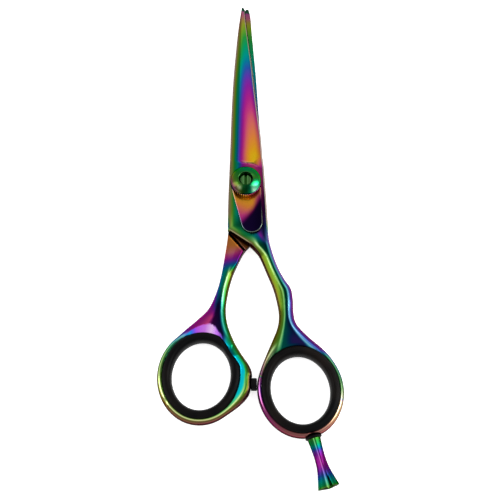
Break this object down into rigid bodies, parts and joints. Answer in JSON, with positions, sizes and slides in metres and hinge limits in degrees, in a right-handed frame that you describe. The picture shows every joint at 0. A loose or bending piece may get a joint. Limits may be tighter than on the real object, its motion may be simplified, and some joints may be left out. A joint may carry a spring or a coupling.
{
  "type": "thinning shears",
  "caption": "Hair thinning shears with a straight blade over a toothed blade, rubber ring inserts, a tension knob, a bumper and a screw-in finger rest.",
  "frame": {"origin": "on the pivot axis, at the flat back face of the pivot screw's head, on the surface the closed shears lie on", "axes": "+Y towards the blade tips, +Z along the pivot axis towards the tension knob, +X towards the finger ring"},
  "size_m": [0.058, 0.1682, 0.0113],
  "materials": {
    "rainbow_steel": "polished steel with a rainbow titanium film",
    "green_steel": "polished steel with a green titanium film",
    "bearing_brass": "turned",
    "white_nylon": "matte",
    "black_rubber": "smooth satin"
  },
  "bodies": {
    "finger_half": {"cutting_blade": "rainbow_steel", "pivot_screw": "rainbow_steel", "leaf_spring": "rainbow_steel", "finger_ring_insert": "black_rubber", "finger_rest": "rainbow_steel", "finger_rest_washer": "black_rubber"},
    "thumb_half": {"toothed_blade": "rainbow_steel", "pivot_bushing": "bearing_brass", "glide_washer": "white_nylon", "thumb_ring_insert": "black_rubber", "bumper": "black_rubber"},
    "knob": {"tension_knob": "green_steel"}
  },
  "joints": [
    {"name": "blade_pivot", "type": "hinge", "parent": "finger_half", "child": "thumb_half", "pos_m": [0, 0, 0.0029], "axis": [0, 0, -1], "range_deg": [0, 110]},
    {"name": "knob_turn", "type": "hinge", "parent": "finger_half", "child": "knob", "pos_m": [0, 0, 0.0075], "axis": [0, 0, 1], "range_deg": [-30, 330]}
  ]
}
